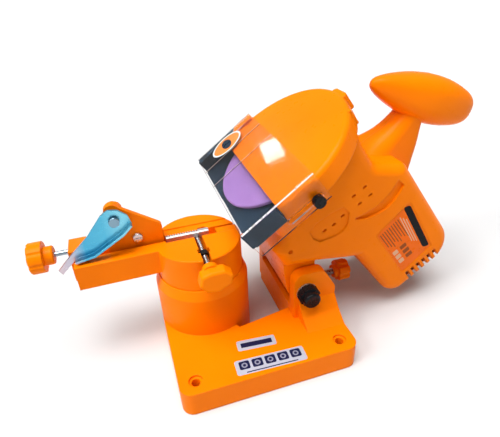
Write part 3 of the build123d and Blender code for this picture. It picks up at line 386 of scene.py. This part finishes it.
def rounded(x0, y0, x1, y1, r, k=5):
    pts = []
    for cx, cy, a0 in ((x1 - r, y1 - r, 0), (x0 + r, y1 - r, 90), (x0 + r, y0 + r, 180), (x1 - r, y0 + r, 270)):
        for i in range(k + 1):
            a = math.radians(a0 + 90 * i / k)
            pts.append((cx + r * math.cos(a), cy + r * math.sin(a)))
    return pts


def ellipse(cx, cy, rx, ry, turn=0.0, k=48):
    t = math.radians(turn)
    out = []
    for i in range(k):
        a = 2 * math.pi * i / k
        x, y = rx * math.cos(a), ry * math.sin(a)
        out.append((cx + x * math.cos(t) - y * math.sin(t), cy + x * math.sin(t) + y * math.cos(t)))
    return out


# plain stickers on the plate
def on_plate(turn, ox, oy):
    t = math.radians(turn)
    return lambda x, y, h: Vector(((ox + x * math.cos(t) - y * math.sin(t)) / 1000,
                                   (oy + x * math.sin(t) + y * math.cos(t)) / 1000, (21.02 + h) / 1000))


def slab(name, pts, thick, place, material, body, slot):
    return patch(name, pts, thick, place, material, body)


def turned(cx, cy, w, h, r, turn, k=5):
    t = math.radians(turn)
    return [(cx + x * math.cos(t) - y * math.sin(t), cy + x * math.sin(t) + y * math.cos(t))
            for x, y in rounded(-w / 2, -h / 2, w / 2, h / 2, r, k)]


flat = on_plate(0, 0, 0)
patch("sticker_small", turned(27.2, -58.6, 31.0, 10.2, 1.6, -5.0), 0.06, flat, "label_light", "base")
patch("sticker_small_bar", turned(27.2, -58.6, 25.0, 4.6, 0.3, -5.0), 0.09, flat, "label_blue", "base")
patch("sticker_large", turned(32.0, -78.7, 54.5, 13.6, 1.8, -2.8), 0.06, flat, "label_light", "base")
for i in range(5):
    t = math.radians(-2.8)
    dx, dy = -20.2 + 10.1 * i, 1.5
    patch("sticker_square_%d" % i, turned(32.0 + dx * math.cos(t) - dy * math.sin(t), -78.7 + dx * math.sin(t) + dy * math.cos(t),
                                          8.2, 7.6, 1.3, -2.8), 0.09, flat, "label_blue", "base")
    dx, dy = dx, 1.4
    ox, oy = 32.0 + dx * math.cos(t) - dy * math.sin(t), -78.7 + dx * math.sin(t) + dy * math.cos(t)
    patch("sticker_disc_%d" % i, ellipse(ox, oy, 2.3, 2.3, 0, 28), 0.11, flat, "label_disc", "base")
    patch("sticker_dot_%d" % i, ellipse(ox, oy, 1.2, 1.2, 0, 20), 0.13, flat, "label_blue", "base")
patch("sticker_rule", turned(31.7, -84.0, 40.0, 0.9, 0.3, -2.8), 0.09, flat, "label_blue", "base")


# rating panel in its recess on the front of the motor casing
def on_front(depth):
    return lambda a, c, h: head(a, -(depth + h), c)


panel = on_front(39.42)


def corners(pts, r, k=4):
    """Round the corners of an outline given in order."""
    out = []
    m = len(pts)
    for i in range(m):
        p, q, s_ = Vector(pts[i - 1]), Vector(pts[i]), Vector(pts[(i + 1) % m])
        e1, e2 = (p - q).normalized(), (s_ - q).normalized()
        for j in range(k + 1):
            t = j / k
            out.append(tuple(q + e1 * r * (1 - t) ** 2 + e2 * r * t ** 2))
    return out


patch("panel_sheet", corners([(19.5, 98.0), (17.8, 153.0), (50.6, 149.9), (55.2, 93.6)], 2.4), 0.10, panel,
      "label_orange", "head")
patch("panel_strip", corners([(49.2, 93.2), (55.0, 95.6), (50.0, 148.5), (44.4, 145.4)], 2.6), 0.16, panel,
      "label_black", "head")
for i in range(9):
    a0 = 20.9 + 2.35 * i
    patch("panel_line_%d" % i, corners([(a0, 100.4 - 0.16 * i), (a0 + 0.9, 100.4 - 0.16 * i),
                                        (a0 + 0.75 - 0.02 * i, 117.5 + (i % 3) * 2.4), (a0 - 0.15, 117.5 + (i % 3) * 2.4)], 0.3, 2),
          0.14, panel, "label_rule", "head")
for i in range(3):
    a0 = 42.6 + 1.75 * i
    patch("panel_rule_%d" % i, corners([(a0 - 0.4, 99.0 + 3.0 * i), (a0 + 0.5, 99.0 + 3.0 * i), (a0 - 2.2, 130.0 + 2 * i),
                                        (a0 - 3.1, 130.0 + 2 * i)], 0.3, 2),
          0.14, panel, "label_pale", "head")
for i in range(3):
    c0 = 126.0 + 6.2 * i
    patch("panel_box_%d" % i, corners([(20.6, c0), (25.6, c0), (25.4, c0 + 4.6), (20.4, c0 + 4.6)], 0.8, 3),
          0.14, panel, "label_pale", "head")
    patch("panel_tab_%d" % i, corners([(28.4, c0), (34.6, c0), (34.3, c0 + 4.2), (28.1, c0 + 4.2)], 0.6, 3),
          0.14, panel, "label_rule", "head")


# plain oval sticker on the shield, and the painted highlights along the edges of the bent sheet
def on_shield(a, b, h):
    return head(a, b, -(10.62 + h))


def oval(rx, ry):
    return [(x, y) for x, y in ellipse(-23.2, 48.8, rx, ry, 3.0)]


patch("oval_rim", oval(15.4, 12.0), 0.05, on_shield, "oval_edge", "shield")
patch("oval_field", oval(13.8, 10.4), 0.08, on_shield, "oval_orange", "shield")
patch("oval_middle", oval(4.6, 7.6), 0.11, on_shield, "label_dark", "shield")


# dark and orange border on the inside of the sheet, along its far edge
def inside_shield(a, b, h):
    return head(a, b, -(8.94 - h))


patch("border_dark", corners([(-51.0, 57.5), (-12.0, 60.5), (-9.5, 65.2), (-51.6, 65.2)], 0.6, 3), 0.05, inside_shield,
      "guard_black", "shield")
patch("border_orange", corners([(-13.0, 57.4), (8.2, 56.4), (8.2, 65.2), (-9.2, 65.2)], 0.6, 3), 0.05, inside_shield,
      "orange_plastic", "shield")


def bend_strip(name, side, a0, a1, radius, wide, turn0, turn1, material="bend_highlight"):
    """The rounded outer corner of the sheet, a hair proud of it."""
    bm = bmesh.new()
    rows = []
    for k in range(9):
        ang = math.radians(turn0 + (turn1 - turn0) * k / 8)
        rows.append([[bm.verts.new(head(a, side * (67.1 - 3.0 + r * math.sin(ang)), -(10.6 - 3.0 + r * math.cos(ang))))
                      for r in (radius, radius - wide)] for a in (a0, a1)])
    for one, two in zip(rows, rows[1:]):
        bm.faces.new((one[0][0], one[1][0], two[1][0], two[0][0]))
        bm.faces.new((one[0][1], two[0][1], two[1][1], one[1][1]))
        bm.faces.new((one[0][0], two[0][0], two[0][1], one[0][1]))
        bm.faces.new((one[1][0], one[1][1], two[1][1], two[1][0]))
    bm.faces.new((rows[0][0][0], rows[0][0][1], rows[0][1][1], rows[0][1][0]))
    bm.faces.new((rows[-1][0][0], rows[-1][1][0], rows[-1][1][1], rows[-1][0][1]))
    return add(name, bm, material, "shield", smooth=False)


# painted highlight along the near bend of the sheet
bend_strip("bend_near", -1, -51.9, 8.4, 3.04, 0.08, 22, 44)
bend_strip("bend_far", 1, -51.9, 8.4, 3.04, 0.08, 30, 56, "guard_black")


def strip(name, b, wide, a0, a1):
    patch(name, [(a0, b - wide / 2), (a1, b - wide / 2), (a1, b + wide / 2), (a0, b + wide / 2)], 0.05,
          lambda a, bb, h: head(a, bb, -(10.90 + h)), "crease_highlight", "shield")


# painted highlight lines on the two folds of the sheet
strip("crease_one", 8.0, 0.7, -51.9, 8.4)
strip("crease_two", 35.0, 0.7, -51.9, 8.4)

# lip of the inner guard across its middle, behind the wheel
patch("guard_lip", corners([(-53.9, -9.2), (-43.8, -9.2), (-43.8, 9.2), (-53.9, 9.2)], 0.2, 2), 1.5,
      lambda a, b, h: head(a, b, 4.25 + h), "guard_black", "head")

# painted shade on the floors of the notches beside the rating panel
for i in range(6):
    a0 = 20.5 + 6.0 * i
    patch("vent_floor_%d" % i, corners([(a0 - 1.5, 155.7), (a0 + 1.5, 155.7), (a0 + 1.5, 171.0), (a0 - 1.5, 171.0)], 0.3, 2), 0.10,
          on_front(31.6), "vent_shade", "head")


def ring_thread(name, start, axis, across, length, radius, pitch, depth, material, body, plain=(), per=6, round_=28):
    """A cut thread as geometry: start and axis give its line, plain lists
    stretches (from, to, radius) without thread, all in metres."""
    axis = Vector(axis).normalized()
    across = Vector(across).normalized()
    third = axis.cross(across)
    start = Vector(start)
    bm = bmesh.new()
    rows = int(length / pitch * per) + 1
    stations = [length * i / (rows - 1) for i in range(rows)]
    for a, b, r in plain:
        stations += [a, b, a + 1e-6, b - 1e-6]
    stations = sorted(set(round(x, 8) for x in stations if 0 <= x <= length))
    loops = []
    for x in stations:
        loop = []
        for j in range(round_):
            ang = 2 * math.pi * j / round_
            r = None
            for a, b, rr in plain:
                if a <= x <= b:
                    r = rr
            if r is None:
                f = (x / pitch - j / round_) % 1.0
                r = radius - depth * (1 - abs(2 * f - 1)) ** 0.9
                end = min(x, length - x)
                if end < pitch * 0.8:
                    r = min(r, radius - depth * (1 - end / (pitch * 0.8)))
            loop.append(bm.verts.new(start + axis * x + (across * math.cos(ang) + third * math.sin(ang)) * r))
        loops.append(loop)
    for one, two in zip(loops, loops[1:]):
        for j in range(round_):
            k = (j + 1) % round_
            bm.faces.new((one[j], one[k], two[k], two[j]))
    bm.faces.new(loops[0][::-1])
    bm.faces.new(loops[-1])
    return add(name, bm, material, body, smooth=False)


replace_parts(ring_thread("depth_screw_cut", (0.0867, -0.002, 0.024), (1, 0, 0), (0, 1, 0), 0.0467, 0.00298, 0.001, 0.00058,
                        "thread", "depth_stop"), "depth_screw")
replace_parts(ring_thread("clamp_bolt_cut", (0.0002, 0.00455, 0.0876), (0, -1, 0), (1, 0, 0), 0.051, 0.00238, 0.001, 0.00052,
                        "thread", "clamp", plain=((0.0, 0.002, 0.00338),)), "clamp_bolt")
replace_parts(ring_thread("adjusting_screw_cut", (-0.124, 0.0104, 0.0954), (1, 0, 0), (0, 1, 0), 0.0816, 0.00198, 0.0007, 0.00036,
                        "thread_blue", "adjuster", plain=((0.0, 0.0403, 0.00196), (0.0403, 0.0418, 0.00296)), per=5,
                        round_=24), "adjusting_screw")


# ---------------------------------------------------------------------------
# stage, light and camera
# ---------------------------------------------------------------------------
world = bpy.data.worlds.new("studio")
bpy.context.scene.world = world
world.use_nodes = True
bg = world.node_tree.nodes["Background"]
bg.inputs[0].default_value = (1.0, 1.0, 1.0, 1)
bg.inputs[1].default_value = 0.32

floor_bm = bmesh.new()
bmesh.ops.create_grid(floor_bm, x_segments=2, y_segments=2, size=6)
me = bpy.data.meshes.new("floor")
floor_bm.to_mesh(me)
floor_bm.free()
floor = bpy.data.objects.new("floor", me)
floor.location = (0, 0, -0.0004)
bpy.context.scene.collection.objects.link(floor)
fm = Mat("floor_pale", (0.62, 0.62, 0.62), 0.9, spec=0.05)
fm.tint(fm.noise(3, 2), (0.615, 0.615, 0.615), (0.625, 0.625, 0.625))
fm.bump(fm.noise(60, 3), 0.03, 0.0005)
me.materials.append(fm.m)


def area(name, at, to, size, power, color=(1, 1, 1), size_y=None):
    l = bpy.data.lights.new(name, "AREA")
    l.energy = power
    l.color = color
    l.size = size
    if size_y:
        l.shape = "RECTANGLE"
        l.size_y = size_y
    o = bpy.data.objects.new(name, l)
    o.location = at
    o.rotation_euler = (Vector(to) - Vector(at)).to_track_quat("-Z", "Y").to_euler()
    bpy.context.scene.collection.objects.link(o)
    return o


def sun(name, towards, power, spread):
    """Parallel light; towards is the direction it comes from."""
    l = bpy.data.lights.new(name, "SUN")
    l.energy = power
    l.angle = math.radians(spread)
    o = bpy.data.objects.new(name, l)
    o.location = Vector(towards) * 2
    o.rotation_euler = (-Vector(towards)).to_track_quat("-Z", "Y").to_euler()
    bpy.context.scene.collection.objects.link(o)
    return o


sun("top", (-0.18, -0.12, 0.97), 3.75, 40)
sun("left", (-0.72, -0.18, 0.67), 1.15, 18)

C = Vector((-0.0426, -0.28834, 0.28193))
yaw, pitch, roll = math.radians(16.75), math.radians(31.3), math.radians(-2.54)
fwd = Vector((math.sin(yaw) * math.cos(pitch), math.cos(yaw) * math.cos(pitch), -math.sin(pitch)))
r0 = Vector((math.cos(yaw), -math.sin(yaw), 0))
u0 = r0.cross(fwd)
right = r0 * math.cos(roll) + u0 * math.sin(roll)
up = -r0 * math.sin(roll) + u0 * math.cos(roll)
cam_data = bpy.data.cameras.new("camera")
cam_data.sensor_fit = "HORIZONTAL"
cam_data.sensor_width = 36.0
cam_data.lens = 432.1 * 36.0 / 500.0
cam_data.clip_start = 0.01
cam_data.clip_end = 50
cam = bpy.data.objects.new("camera", cam_data)
rot = Matrix((right, up, -fwd)).transposed().to_4x4()
cam.matrix_world = Matrix.Translation(C) @ rot
bpy.context.scene.collection.objects.link(cam)
bpy.context.scene.camera = cam
bpy.context.scene.view_settings.view_transform = "Standard"

# a small window-like light, mirrored in the shield
spot = head(0.5, -10.0, -10.6)
ray = (spot - C).normalized()
away = -N
bounce = ray - 2 * ray.dot(away) * away
window = area("window", spot + bounce * 1.0, spot, 0.060, 0.18, size_y=0.060)
window.rotation_euler.rotate_axis("Z", math.radians(32))
